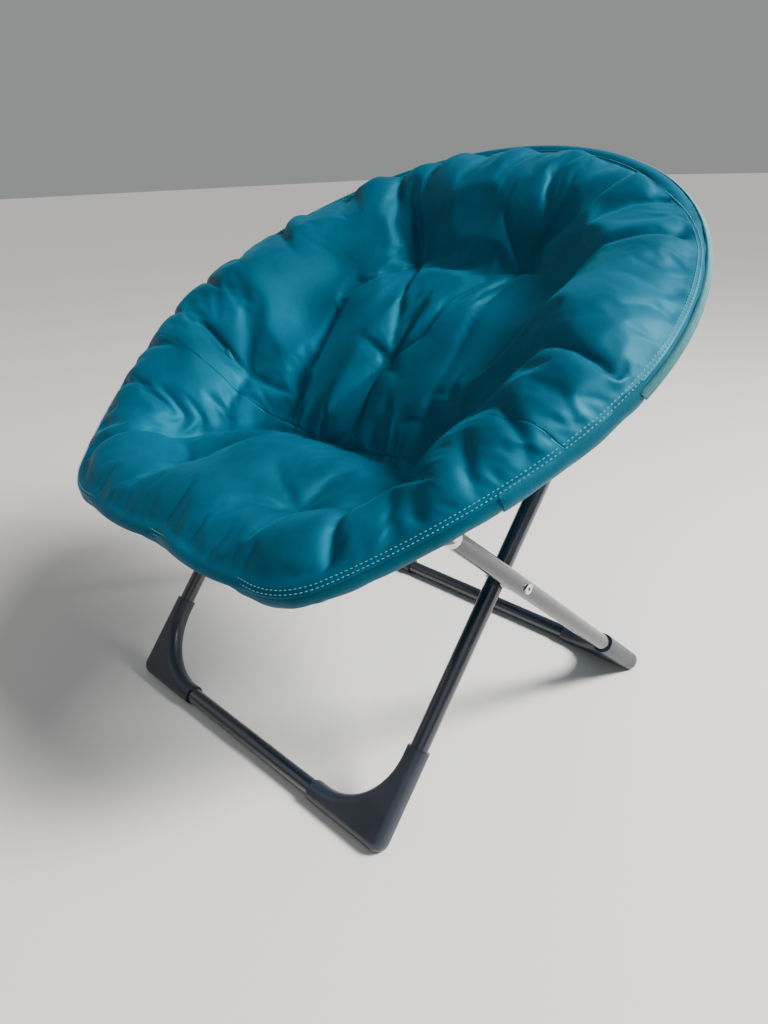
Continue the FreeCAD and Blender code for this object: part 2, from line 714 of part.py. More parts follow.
def make_sleeve(name, path_maker, start, strap_x, strap_along):
    """Hem sleeve round a hoop, open below where the hanger strap comes through."""
    body = new_body(name, RING_FRAME)
    path = path_maker(body, name + "_path", start)
    doc.recompute()
    pipe(
        body, path, "dims.tube_radius + dims.cloth_fit",
        "dims.tube_radius + dims.cloth_fit + dims.sleeve_wall", name,
    )
    across = strap_thick / 2 + size("window_side")
    length = size("strap_half") + size("window_end")
    for side, sign in (("right", 1), ("left", -1)):
        window = new_sketch(body, f"{name}_window_{side}", "XY_Plane")
        low = V(sign * strap_x - across, strap_along - length, 0)
        high = V(sign * strap_x + across, strap_along + length, 0)
        add_polygon(window, [low, V(high.x, low.y, 0), high, V(low.x, high.y, 0)])
        pocket(body, window, 3 * tube_radius)
    keep(body, name)


def make_flap(name):
    """Cloth flap wrapped round the hinge, between the two sleeves."""
    body = new_body(name + "_body", RING_FRAME)
    path = new_sketch(body, name + "_path", "XY_Plane")
    back_reach = (size("back_sleeve_start") - size("flap_margin")) / hoop_radius
    front_reach = (size("front_sleeve_start") - size("flap_margin")) / side_bend
    middle = V(hinge_across, hinge_along, 0)

    def back_point(share):
        angle = -hinge_heading + back_reach * share
        return V(hoop_radius * cos(angle), hoop_centre + hoop_radius * sin(angle), 0)

    def front_point(share):
        return V(*front_hoop_point(hinge_heading + front_reach * share), 0)

    path.addGeometry(Part.Arc(front_point(1), front_point(0.5), middle), False)
    path.addGeometry(Part.Arc(middle, back_point(0.5), back_point(1)), False)
    doc.recompute()
    pipe(
        body, path, "dims.tube_radius + dims.flap_gap",
        "dims.tube_radius + dims.flap_gap + dims.flap_wall", name,
    )
    keep_both(body, name)


pad_inset = tube_radius + size("cloth_fit") + size("sleeve_wall") + size("pad_gap")


def make_pad(name, stations, half_width_at):
    """A padded shell, lofted through crescent sections across the chair.

    Each station is (along, depth share, thickness share).
    """
    body = new_body(name, RING_FRAME)
    sections = []
    for number, (along, depth_share, thick_share) in enumerate(stations):
        half = half_width_at(along, pad_inset)
        top = size("rim_up")
        bottom = -size("rim_down")
        depth = -size("seat_depth") * depth_share
        under = depth - size("pad_thick") * thick_share
        section = new_sketch(body, f"{name}_section_{number}", "XZ_Plane", -along)
        add_outline(section, [
            Part.Arc(V(-half, top, 0), V(0, depth, 0), V(half, top, 0)),
            Part.LineSegment(V(half, top, 0), V(half, bottom, 0)),
            Part.Arc(V(half, bottom, 0), V(0, under, 0), V(-half, bottom, 0)),
            Part.LineSegment(V(-half, bottom, 0), V(-half, top, 0)),
        ])
        sections.append(section)
    doc.recompute()
    loft = body.newObject("PartDesign::AdditiveLoft", name + "_loft")
    loft.Profile = sections[0]
    loft.Sections = sections[1:]
    loft.Ruled = False
    keep(body, name)


make_sleeve(
    "back_sleeve", back_path, size("back_sleeve_start"), back_strap_x,
    hoop_centre + sqrt(hoop_radius ** 2 - back_strap_x ** 2),
)
make_sleeve(
    "front_sleeve", front_path, size("front_sleeve_start"), front_strap_x,
    side_centre[1] - sqrt(side_bend ** 2 - (front_strap_x - side_centre[0]) ** 2),
)
make_flap("hinge_flaps")

seat_front = -size("front_bar") + pad_inset
back_top = hoop_centre + hoop_radius - pad_inset


def between(start, end, share):
    return start + (end - start) * share


crease = hinge_along - size("pad_split")
make_pad("seat_pad", [
    (crease, 1.0, 1.0),
    (between(crease, seat_front, 0.16), 0.80, 0.93),
    (between(crease, seat_front, 0.33), 0.58, 0.85),
    (between(crease, seat_front, 0.64), 0.20, 0.78),
    (between(crease, seat_front, 0.86), 0.04, 0.70),
    (between(crease, seat_front, 0.985), -0.04, 0.36),
], front_half_width_at)
crease = hinge_along + size("pad_split")
make_pad("back_pad", [
    (crease, 1.0, 1.0),
    (between(crease, back_top, 0.19), 0.82, 1.0),
    (between(crease, back_top, 0.385), 0.70, 0.97),
    (between(crease, back_top, 0.58), 0.60, 0.92),
    (between(crease, back_top, 0.775), 0.41, 0.80),
    (between(crease, back_top, 0.93), 0.17, 0.57),
    (between(crease, back_top, 0.992), 0.0, 0.28),
], back_half_width_at)

# ---------------------------------------------------------------- checks and files

doc.recompute()
for item in doc.Objects:
    if "Invalid" in item.State or "Error" in item.State:
        raise RuntimeError(f"{item.Name} failed: {item.State}")
for item in nodes:
    if item.Shape.isNull() or not item.Shape.isValid() or not item.Shape.Solids:
        raise RuntimeError(f"{item.Label} has no valid solid")

for item in nodes:
    item.Shape.exportStep(f"parts/{item.Label}.step")
    print(f"{item.Label:22s} {len(item.Shape.Solids)} solids {item.Shape.Volume / 1000:9.2f} cm3")

print("axes in the chair's own frame, mm:")
for label, point in (
    ("scissor pivot", pivot), ("back hanger", back_hanger), ("front hanger", front_hanger), ("hinge", hinge)
):
    print(f"  {label:14s} y {point[0] - middle_y:9.3f} z {point[1]:9.3f}")
print(f"  hinge across {hinge_across:.3f}, along {hinge_along:.3f}")
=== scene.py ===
# %% [markdown]
# # A folding saucer chair
#
# The chair is a padded, tufted round seat on a ring of two tubular hoops. Two crossed leg
# frames with moulded corners carry it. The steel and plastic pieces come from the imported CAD
# model and only need finishes. The cloth is made here: the padded cover, its hem round the
# tube, the stitching and the flaps over the hinges.

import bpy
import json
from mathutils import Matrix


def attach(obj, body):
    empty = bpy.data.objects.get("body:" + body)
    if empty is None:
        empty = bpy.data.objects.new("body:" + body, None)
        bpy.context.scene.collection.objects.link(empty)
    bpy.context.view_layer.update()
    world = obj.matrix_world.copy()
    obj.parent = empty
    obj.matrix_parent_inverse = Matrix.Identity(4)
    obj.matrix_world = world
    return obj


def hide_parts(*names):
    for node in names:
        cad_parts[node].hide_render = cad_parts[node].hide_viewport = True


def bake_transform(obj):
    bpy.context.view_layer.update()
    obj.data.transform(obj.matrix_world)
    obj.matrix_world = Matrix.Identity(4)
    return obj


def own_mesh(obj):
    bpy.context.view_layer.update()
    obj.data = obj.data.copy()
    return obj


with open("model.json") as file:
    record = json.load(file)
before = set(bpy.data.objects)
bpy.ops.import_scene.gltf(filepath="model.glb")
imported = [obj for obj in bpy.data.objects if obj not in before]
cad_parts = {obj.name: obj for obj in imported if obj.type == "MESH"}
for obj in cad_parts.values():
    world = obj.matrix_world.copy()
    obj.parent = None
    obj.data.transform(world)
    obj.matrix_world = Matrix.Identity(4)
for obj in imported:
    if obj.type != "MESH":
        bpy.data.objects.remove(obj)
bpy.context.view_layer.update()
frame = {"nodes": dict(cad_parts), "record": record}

# %% Modules
import json
from math import asin, cos, pi, radians, sin

import bpy
import numpy as np
from mathutils import Matrix, Vector, noise

# %% [markdown]
# ## The ring's own coordinates
#
# Every cloth piece follows the ring, which is tilted back. It is easiest to shape cloth on the
# ring's own plane: `across` to the right, `along` up the tilted plane, and `above` square to it.
# The hinge line of the two hoops fixes the plane, and the hinge joint's place is in the record.

# %% Ring coordinates
joints = {joint["name"]: joint for joint in frame["record"]["behaviour"]["joints"]}
RING_TILT = radians(29.3)
HOOP_RADIUS = 0.385
HOOP_CENTRE = 0.045
FRONT_BAR = 0.3366
SIDE_BEND = 0.780
FRONT_BEND = 0.090
HINGE_ALONG = -0.087957

UP_RING = Vector((0, cos(RING_TILT), sin(RING_TILT)))
hinge_place = Vector(joints["hoop_hinge"]["pos_m"])
ring_origin = hinge_place - UP_RING * HINGE_ALONG
RING = Matrix.Translation(ring_origin) @ Matrix.Rotation(RING_TILT, 4, "X")

print("ring origin:", [round(value, 4) for value in ring_origin])

# %% Outline of the ring
hinge_heading = asin((HOOP_CENTRE - HINGE_ALONG) / HOOP_RADIUS)
hinge_across = HOOP_RADIUS * cos(hinge_heading)
corner_sine = FRONT_BAR + HINGE_ALONG - FRONT_BEND + SIDE_BEND * sin(hinge_heading)
corner_sine /= SIDE_BEND - FRONT_BEND
corner_heading = asin(corner_sine)
side_centre = (hinge_across - SIDE_BEND * cos(hinge_heading), HINGE_ALONG + SIDE_BEND * sin(hinge_heading))
bar_half = side_centre[0] + (SIDE_BEND - FRONT_BEND) * cos(corner_heading)


def front_hoop_line(inset, steps=24):
    """Right half of the front hoop, from the hinge to the middle of its bar."""
    points = []
    for heading in np.linspace(hinge_heading, corner_heading, steps):
        reach = SIDE_BEND - inset
        points.append((side_centre[0] + reach * cos(heading), side_centre[1] - reach * sin(heading)))
    for heading in np.linspace(corner_heading, pi / 2, steps)[1:]:
        reach = FRONT_BEND - inset
        points.append((bar_half + reach * cos(heading), FRONT_BEND - FRONT_BAR - reach * sin(heading)))
    points.append((0.0, inset - FRONT_BAR))
    return points


def back_hoop_line(inset, steps=48):
    """Right half of the back hoop, from the hinge to its top."""
    reach = HOOP_RADIUS - inset
    return [
        (reach * cos(angle), HOOP_CENTRE + reach * sin(angle))
        for angle in np.linspace(-hinge_heading, pi / 2, steps)
    ]


def mirrored_line(half):
    """A half line that ends on the middle plane, with its mirror image joined on."""
    return half + [(-x, a) for x, a in reversed(half[:-1])]


def rim_reach(angles, inset):
    """Distance from the hoop's centre to the ring's outline, for directions round it."""
    half = list(reversed(front_hoop_line(inset))) + back_hoop_line(inset)[1:]
    whole = np.array(half + [(-x, a) for x, a in reversed(half[1:-1])])
    offsets = whole - np.array([0.0, HOOP_CENTRE])
    bearing = np.unwrap(np.arctan2(offsets[:, 1], offsets[:, 0]))
    reach = np.hypot(offsets[:, 0], offsets[:, 1])
    wrapped = bearing[0] + np.mod(angles - bearing[0], 2 * pi)
    return np.interp(wrapped, np.append(bearing, bearing[0] + 2 * pi), np.append(reach, reach[0]))


print("hinge across:", round(hinge_across, 4), "front bar half:", round(bar_half, 4))

# %% [markdown]
# ## Finishes
#
# Each finish is a Principled BSDF with a few procedural nodes: noise for uneven colour and gloss,
# and a bump for weave, orange peel or moulded grain. Values that are the same all over the surface
# are set on the shader's own sockets. The patterns read Object coordinates, which are metres here,
# so a scale of 1000 means a pattern about a millimetre across.

# %% Helpers for materials
def new_material(name, **sockets):
    """A material with its Principled BSDF's sockets set; returns it with its nodes and links."""
    material = bpy.data.materials.new(name)
    material.use_nodes = True
    shader = material.node_tree.nodes["Principled BSDF"]
    for socket, value in sockets.items():
        shader.inputs[socket.replace("_", " ")].default_value = value
    return material


def add_node(material, kind, **settings):
    node = material.node_tree.nodes.new(kind)
    for key, value in settings.items():
        if key in node.inputs:
            node.inputs[key].default_value = value
        else:
            setattr(node, key, value)
    return node


def join(material, source, target):
    material.node_tree.links.new(source, target)


def add_noise(material, scale, detail=3.0, roughness=0.5, source="Object"):
    """Noise of this scale over the piece, and the coordinates it reads."""
    place = add_node(material, "ShaderNodeTexCoord")
    pattern = add_node(material, "ShaderNodeTexNoise", Scale=scale, Detail=detail, Roughness=roughness)
    join(material, place.outputs[source], pattern.inputs["Vector"])
    return pattern


def vary(material, pattern, socket, low, high):
    """The pattern drives a number between low and high."""
    spread = add_node(material, "ShaderNodeMapRange")
    spread.inputs["From Min"].default_value = 0.3
    spread.inputs["From Max"].default_value = 0.7
    spread.inputs["To Min"].default_value = low
    spread.inputs["To Max"].default_value = high
    join(material, pattern.outputs[0], spread.inputs["Value"])
    join(material, spread.outputs["Result"], material.node_tree.nodes["Principled BSDF"].inputs[socket])


def tint(material, pattern, dark, light):
    """The pattern blends two base colours."""
    ramp = add_node(material, "ShaderNodeValToRGB")
    ramp.color_ramp.elements[0].position = 0.32
    ramp.color_ramp.elements[1].position = 0.68
    ramp.color_ramp.elements[0].color = (*dark, 1)
    ramp.color_ramp.elements[1].color = (*light, 1)
    join(material, pattern.outputs[0], ramp.inputs["Fac"])
    join(material, ramp.outputs["Color"], material.node_tree.nodes["Principled BSDF"].inputs["Base Color"])


def raise_grain(material, height, depth, strength=1.0):
    """Bump from a height pattern, on top of any bump already there."""
    shader = material.node_tree.nodes["Principled BSDF"]
    bump = add_node(material, "ShaderNodeBump", Strength=strength, Distance=depth)
    join(material, height, bump.inputs["Height"])
    if shader.inputs["Normal"].is_linked:
        join(material, shader.inputs["Normal"].links[0].from_socket, bump.inputs["Normal"])
    join(material, bump.outputs["Normal"], shader.inputs["Normal"])


# %% Steel and plastic finishes
powder_coat = new_material(
    "powder_coat", Metallic=0.35, Coat_Weight=0.7, Coat_Roughness=0.09, Specular_IOR_Level=0.6
)
tint(powder_coat, add_noise(powder_coat, 9.0), (0.006, 0.009, 0.016), (0.012, 0.017, 0.028))
vary(powder_coat, add_noise(powder_coat, 35.0, detail=6.0), "Roughness", 0.20, 0.34)
raise_grain(powder_coat, add_noise(powder_coat, 420.0, detail=2.0).outputs[0], 0.00012, 0.5)

moulded_corner = new_material("moulded_corner", Specular_IOR_Level=0.5)
tint(moulded_corner, add_noise(moulded_corner, 14.0), (0.010, 0.015, 0.024), (0.020, 0.028, 0.042))
vary(moulded_corner, add_noise(moulded_corner, 60.0, detail=6.0), "Roughness", 0.30, 0.46)
raise_grain(moulded_corner, add_noise(moulded_corner, 900.0, detail=2.0).outputs[0], 0.0001, 0.5)

black_plastic = new_material("black_plastic", Specular_IOR_Level=0.5)
tint(black_plastic, add_noise(black_plastic, 30.0), (0.006, 0.007, 0.009), (0.014, 0.015, 0.018))
vary(black_plastic, add_noise(black_plastic, 80.0, detail=5.0), "Roughness", 0.38, 0.55)
raise_grain(black_plastic, add_noise(black_plastic, 1200.0, detail=2.0).outputs[0], 0.0001, 0.6)

white_nylon = new_material(
    "white_nylon", Specular_IOR_Level=0.5, Subsurface_Weight=0.15, Subsurface_Scale=0.004
)
tint(white_nylon, add_noise(white_nylon, 40.0), (0.68, 0.69, 0.67), (0.82, 0.83, 0.82))
vary(white_nylon, add_noise(white_nylon, 90.0, detail=5.0), "Roughness", 0.30, 0.45)
raise_grain(white_nylon, add_noise(white_nylon, 900.0, detail=2.0).outputs[0], 0.0001, 0.4)

plated_steel = new_material("plated_steel", Metallic=1.0)
tint(plated_steel, add_noise(plated_steel, 120.0), (0.52, 0.54, 0.57), (0.74, 0.75, 0.77))
vary(plated_steel, add_noise(plated_steel, 300.0, detail=6.0), "Roughness", 0.18, 0.40)
raise_grain(plated_steel, add_noise(plated_steel, 2200.0, detail=3.0).outputs[0], 0.00005, 0.5)

FINISH_OF_SLOT = {
    "frame_paint": powder_coat,
    "corner_plastic": moulded_corner,
    "cap_plastic": black_plastic,
    "white_nylon": white_nylon,
    "rivet_steel": plated_steel,
}
for part in frame["record"]["subparts"]:
    finish = FINISH_OF_SLOT.get(part["material_slot"])
    node = frame["nodes"][part["node"]]
    if finish:
        for place in node.material_slots:
            place.material = finish
finished = sum(part["material_slot"] in FINISH_OF_SLOT for part in frame["record"]["subparts"])
print("CAD nodes finished:", finished)

# %% [markdown]
# ## Cloth finish
#
# The cover is a close plain weave of dyed polyester with a soft, coloured sheen. Two fine bands at
# right angles make the weave, and slow noise makes the colour uneven, as it is where the cloth is
# rubbed and creased. The weave follows the piece's own UV map, so that it runs with the cloth.

# %% Cloth finishes
def make_cloth(name, dark, light, pitch=0.0013, weave_depth=0.00025):
    """Plain weave: pitch is the distance between threads, and the UV map is in metres."""
    cloth = new_material(
        name, Specular_IOR_Level=0.45, Specular_Tint=(0.02, 0.72, 1.0, 1),
        Sheen_Weight=0.12, Sheen_Roughness=0.35, Sheen_Tint=(0.0, 0.66, 0.92, 1),
    )
    tint(cloth, add_noise(cloth, 9.0, detail=5.0), dark, light)
    vary(cloth, add_noise(cloth, 26.0, detail=6.0), "Roughness", 0.40, 0.58)
    place = add_node(cloth, "ShaderNodeTexCoord")
    heights = []
    for direction in ("X", "Y"):
        bands = add_node(cloth, "ShaderNodeTexWave", Scale=pi / (10 * pitch), bands_direction=direction)
        join(cloth, place.outputs["UV"], bands.inputs["Vector"])
        heights.append(bands.outputs["Fac"])
    crossed = add_node(cloth, "ShaderNodeMath", operation="MAXIMUM")
    join(cloth, heights[0], crossed.inputs[0])
    join(cloth, heights[1], crossed.inputs[1])
    raise_grain(cloth, crossed.outputs[0], weave_depth, 0.5)
    raise_grain(cloth, add_noise(cloth, 150.0, detail=4.0).outputs[0], 0.0007, 0.4)
    return cloth


cover_cloth = make_cloth("cover_cloth", (0.0, 0.042, 0.074), (0.0, 0.074, 0.132))
# The hem's finish is the cover cloth made darker: painted shade for the hem band, fringe and hinge flaps,
# which sit in shadow.
hem_cloth = make_cloth("hem_cloth", (0.0, 0.032, 0.055), (0.0, 0.056, 0.096))
thread = new_material("stitch_thread", Roughness=0.55, Sheen_Weight=0.4)
tint(thread, add_noise(thread, 700.0), (0.0, 0.20, 0.27), (0.02, 0.30, 0.38))
overlock_thread = new_material("overlock_thread", Roughness=0.7, Sheen_Weight=0.5)
tint(overlock_thread, add_noise(overlock_thread, 500.0), (0.0, 0.10, 0.13), (0.03, 0.26, 0.28))

# %% [markdown]
# ## The padded cover
#
# The cover is one closed bag of cloth with loose fill, hung inside the ring. It could be modelled
# by hand, but pads of cloth get their look from slack cloth that fill pushes out between its seams,
# so it is simulated. A flat grid is mapped onto the ring's outline, given two faces, and pressed
# into the bowl's shape. Then Cloth with a little pressure swells it between the rim, the tufts and
# the seams, where it is held. Last, it is cut in two at the crease, where the two hoops hinge.

# %% A flat blank in the ring's outline
COVER_CELLS = 132
SLEEVE_RADIUS = 0.0134
RIM_INSET = -0.0115
LIP_THICK = 0.0014
LIP_CLEAR = 0.0004
SEWN_ROUND = -0.0045
SEWN_TOP = 0.0125


def crown(inset):
    """Height of the hem this far in from the tube's axis: round the tube, then straight down inwards."""
    round_tube = np.sqrt(np.maximum(SLEEVE_RADIUS ** 2 - np.square(inset), 0))
    straight = SLEEVE_RADIUS * 0.866 - 0.577 * (inset - SLEEVE_RADIUS / 2)
    return np.where(inset < SLEEVE_RADIUS / 2, round_tube, straight)


def sewn_at(along):
    """How far in from the tube's axis the fill starts, at this place along the ring."""
    share = np.clip((along - 0.20) / 0.15, 0, 1)
    return SEWN_ROUND + (SEWN_TOP - SEWN_ROUND) * share * share * (3 - 2 * share)


RIM_TOP = float(crown(RIM_INSET)) + LIP_CLEAR + LIP_THICK


def square_to_disc(u, v):
    """Maps a square of half side 1 onto a unit disc, with rings that stay even."""
    wide = np.abs(u) > np.abs(v)
    big = np.where(wide, u, v)
    small = np.where(wide, v, u)
    share = np.divide(small, big, out=np.zeros_like(big), where=big != 0) * pi / 4
    angle = np.where(wide, share, pi / 2 - share)
    return big * np.cos(angle), big * np.sin(angle)


def read_points(piece):
    points = np.empty(len(piece.data.vertices) * 3)
    piece.data.vertices.foreach_get("co", points)
    return points.reshape(-1, 3)


def write_points(piece, points):
    piece.data.vertices.foreach_set("co", np.asarray(points, float).ravel())
    piece.data.update()


def make_active(piece):
    bpy.ops.object.select_all(action="DESELECT")
    piece.select_set(True)
    bpy.context.view_layer.objects.active = piece


def apply_modifiers(piece):
    make_active(piece)
    for modifier in list(piece.modifiers):
        bpy.ops.object.modifier_apply(modifier=modifier.name)


bpy.ops.object.select_all(action="DESELECT")
bpy.ops.mesh.primitive_grid_add(x_subdivisions=COVER_CELLS, y_subdivisions=COVER_CELLS, size=2)
cover = bpy.context.object
cover.name = "cover"
flat = read_points(cover)
disc_x, disc_y = square_to_disc(flat[:, 0], flat[:, 1])
share_out = np.hypot(disc_x, disc_y)
bearing = np.arctan2(disc_y, disc_x)
reach = rim_reach(bearing, RIM_INSET)
across = disc_x * reach
along = HOOP_CENTRE + disc_y * reach
write_points(cover, np.column_stack([across, along, np.zeros(len(across))]))
for loop_uv, loop in zip(cover.data.uv_layers[0].data, cover.data.loops):
    loop_uv.uv = cover.data.vertices[loop.vertex_index].co.xy
two_faces = cover.modifiers.new("two_faces", "SOLIDIFY")
two_faces.thickness = LIP_THICK
two_faces.offset = -1
apply_modifiers(cover)
count = len(across)
print("cover points on each face:", count)

# %% [markdown]
# ## The bowl
#
# A few heights, chosen where the cloth is held or turns, say what the bowl is: a full roll of fill
# inside the rim, steep walls, a level seat and a tufted back. A smooth surface through them (a
# thin-plate spline) gives the height everywhere else.

# %% The bowl's shape
SEAT_TUFT = (0.110, -0.236, -0.016)
SIDE_TUFT = (0.206, -0.054, -0.038)
LOW_TUFT = (0.000, 0.042, -0.056)
HIGH_TUFT = (0.093, 0.237, -0.045)
DART_TOP = (0.198, -0.222, 0.002)
DART_FOOT = (0.252, -0.312, 0.014)
CREASE = [
    (0.200, -0.212, -0.014), (0.186, -0.165, -0.050), (0.150, -0.122, -0.076),
    (0.085, -0.097, -0.090), (0.000, -0.090, -0.094),
]
BOWL = [
    SEAT_TUFT, SIDE_TUFT, LOW_TUFT, HIGH_TUFT, DART_TOP, *CREASE,
    (0.000, -0.300, 0.018), (0.120, -0.298, 0.018), (0.000, -0.240, 0.000), (0.090, -0.165, -0.048),
    (0.000, -0.165, -0.048), (0.262, -0.245, 0.024), (0.300, -0.180, 0.028), (0.246, -0.190, 0.016),
    (0.318, -0.100, 0.032), (0.262, -0.110, 0.020), (0.328, 0.000, 0.032), (0.264, -0.030, 0.018),
    (0.336, 0.110, 0.030), (0.256, 0.070, 0.014), (0.312, 0.215, 0.028), (0.272, 0.185, 0.014),
    (0.225, 0.325, 0.026), (0.110, 0.378, 0.028), (0.000, 0.392, 0.030), (0.000, 0.322, -0.006),
    (0.160, 0.290, -0.012), (0.205, 0.170, -0.040), (0.192, 0.060, -0.056), (0.000, 0.150, -0.056),
    (0.110, 0.120, -0.052), (0.120, -0.010, -0.076), (0.000, -0.030, -0.080),
]


def mirror(point):
    return (-point[0], *point[1:])


def both_sides(points):
    return points + [mirror(point) for point in points if point[0]]


def plate_spline(sites, values, across, along):
    """Thin-plate spline through the values at the sites, read at (across, along)."""
    def kernel(square):
        return np.where(square > 0, square * np.log(np.maximum(square, 1e-12)), 0.0)

    gaps = ((sites[:, None] - sites[None]) ** 2).sum(axis=2)
    plane = np.column_stack([np.ones(len(sites)), sites])
    system = np.block([[kernel(gaps), plane], [plane.T, np.zeros((3, 3))]])
    weights = np.linalg.solve(system, np.append(values, np.zeros(3)))
    height = weights[-3] + weights[-2] * across + weights[-1] * along
    for site, weight in zip(sites, weights):
        height += weight * kernel((across - site[0]) ** 2 + (along - site[1]) ** 2)
    return height


rim_angles = np.linspace(0, 2 * pi, 48, endpoint=False)
rim_sites = np.column_stack([np.cos(rim_angles), np.sin(rim_angles)])
rim_sites *= rim_reach(rim_angles, RIM_INSET)[:, None]
rim_sites[:, 1] += HOOP_CENTRE
inner = np.array(both_sides(BOWL))
sites = np.vstack([rim_sites, inner[:, :2]])
heights = np.append(np.full(len(rim_sites), RIM_TOP), inner[:, 2])
front = plate_spline(sites, heights, across, along)
print("bowl depth:", round(float(front.min()), 3))

# %% [markdown]
# ## Folds
#
# The cloth is gathered where it is sewn to the hem and pulled into stars round the tufts. Each fold
# is a sharp groove along a short line, deepest where it starts. The folds are pressed into the
# bowl before it swells, so that the slack has somewhere to go, as it has in the sewn cover.

# %% Folds pressed into the bowl
GATHERS = [  # degrees round the hoop's centre, length, depth
    (-42, 0.050, 0.006), (-33, 0.070, 0.009), (-24, 0.090, 0.010), (-16, 0.050, 0.006), (-7, 0.130, 0.016),
    (12, 0.060, 0.006), (29, 0.140, 0.016), (43, 0.060, 0.009), (55, 0.170, 0.013), (70, 0.050, 0.008),
    (84, 0.060, 0.008), (98, 0.075, 0.012), (110, 0.045, 0.009), (122, 0.110, 0.013), (137, 0.070, 0.012),
    (147, 0.050, 0.009), (156, 0.110, 0.014), (168, 0.060, 0.010), (180, 0.090, 0.012), (192, 0.050, 0.009),
    (204, 0.080, 0.013), (216, 0.050, 0.009), (228, 0.045, 0.007),
]
FOLD_HALF = 0.0085
FILL = 0.030
FILL_GROWTH = 0.012
STAR_LENGTH = 0.075
STAR_DEPTH = 0.012
SEAM_DEPTH = 0.011


def fold(start, end, depth, fade=0.7):
    """Groove from start, where it is deepest, to nothing at the end; both are (across, along)."""
    run = np.subtract(end[:2], start[:2])
    length = np.hypot(*run)
    share = ((across - start[0]) * run[0] + (along - start[1]) * run[1]) / length ** 2
    inside = np.clip(share, 0, 1)
    gap = np.hypot(across - start[0] - inside * run[0], along - start[1] - inside * run[1])
    return depth * (1 - inside) ** fade * np.exp(-gap / FOLD_HALF)


def rim_point(degrees, inset):
    angle = np.array([radians(degrees)])
    reach = float(rim_reach(angle, inset)[0])
    return reach * cos(angle[0]), HOOP_CENTRE + reach * sin(angle[0])


depths = [
    fold(rim_point(degrees, SLEEVE_RADIUS), rim_point(degrees + 4, SLEEVE_RADIUS + length), depth)
    for degrees, length, depth in GATHERS
]
for start, end in [*zip(CREASE[:-1], CREASE[1:]), (DART_TOP, DART_FOOT)]:
    depths.append(fold(start, end, SEAM_DEPTH, fade=0.0))
    depths.append(fold(mirror(start), mirror(end), SEAM_DEPTH, fade=0.0))
for centre, rays in (
    (HIGH_TUFT, (62, 130, 205, 262, 330)), (mirror(HIGH_TUFT), (80, 120, 190, 245, 300, 10)),
    (SIDE_TUFT, (60, 110, 200, 260)), (mirror(SIDE_TUFT), (5, 65, 115, 165, 285)),
    (LOW_TUFT, (30, 95, 165, 232, 275, 330)),
    (SEAT_TUFT, (20, 100, 160, 215, 290)), (mirror(SEAT_TUFT), (15, 60, 150, 200, 280)),
):
    for degrees in rays:
        ray = radians(degrees)
        tip = (centre[0] + STAR_LENGTH * cos(ray), centre[1] + STAR_LENGTH * sin(ray))
        depths.append(fold(centre, tip, STAR_DEPTH))
for start, end, depth in (
    (mirror(HIGH_TUFT), LOW_TUFT, 0.010), (LOW_TUFT, mirror(HIGH_TUFT), 0.008),
    (HIGH_TUFT, (0.125, -0.040), 0.012), (LOW_TUFT, (-0.055, -0.080), 0.012),
    (LOW_TUFT, (0.020, -0.085), 0.008),
    ((0.060, -0.092), (0.050, -0.045), 0.010), ((-0.040, -0.092), (-0.050, -0.040), 0.010),
    ((0.225, 0.170), (0.170, 0.020), 0.014), ((0.250, 0.060), (0.225, -0.060), 0.008),
):
    depths.append(fold(start, end, depth))
grooves = np.max(depths, axis=0)
inset = RIM_INSET + (1 - share_out) * reach
sewn = sewn_at(along)
front = front - grooves * np.clip((inset - sewn) / 0.006, 0, 1)
fill_depth = LIP_THICK + FILL * (1 - np.exp(-np.maximum(inset - SLEEVE_RADIUS, 0) / FILL_GROWTH))
under = front + 0.6 * grooves - fill_depth
under = np.where(inset < SLEEVE_RADIUS + 0.001, front - LIP_THICK, under)
points = read_points(cover)
points[:count, 2] = front
points[count:, 2] = under
write_points(cover, points)
print("folds:", len(depths), "deepest groove:", round(float(grooves.max()), 4))

# %% [markdown]
# ## Where the cloth is held
#
# The rim is sewn to the hem, the tufts are pulled through to the back, and the crease and the two
# darts are seams. Points near any of them are pinned, less so a little way off.

# %% Pins
def distance_to_line(across, along, line):
    """Shortest distance from each point to a line of (across, along) corners."""
    best = np.full(len(across), 1e9)
    for (x0, a0, *_), (x1, a1, *_) in zip(line, line[1:]):
        run = (x1 - x0) ** 2 + (a1 - a0) ** 2
        share = np.clip(((across - x0) * (x1 - x0) + (along - a0) * (a1 - a0)) / run, 0, 1)
        best = np.minimum(best, np.hypot(across - x0 - share * (x1 - x0), along - a0 - share * (a1 - a0)))
    return best


TUFTS = both_sides([SEAT_TUFT, SIDE_TUFT, HIGH_TUFT]) + [LOW_TUFT]
tuft_distance = np.min([np.hypot(across - x, along - a) for x, a, _ in TUFTS], axis=0)
dart_distance = np.minimum(
    distance_to_line(across, along, [DART_TOP, DART_FOOT]),
    distance_to_line(-across, along, [DART_TOP, DART_FOOT]),
)
crease_distance = np.minimum(
    distance_to_line(across, along, CREASE), distance_to_line(-across, along, CREASE)
)
held = np.zeros(2 * count)
held[:count] = np.where(inset < sewn, 1.0, 0.0)
held[count:] = held[:count]
for faces, distance, width, most in (
    ((0, 1), tuft_distance, 0.0065, 1.0),
    ((0,), dart_distance, 0.0040, 0.95),
    ((0, 1), crease_distance, 0.0055, 0.85),
):
    grip = np.clip(1.5 - distance / width, 0, 1) * most
    for face in faces:
        part = slice(face * count, (face + 1) * count)
        held[part] = np.maximum(held[part], grip)
pins = cover.vertex_groups.new(name="held")
for number in np.nonzero(held > 0)[0]:
    pins.add([int(number)], float(held[number]), "REPLACE")
print("held points:", int((held > 0).sum()))

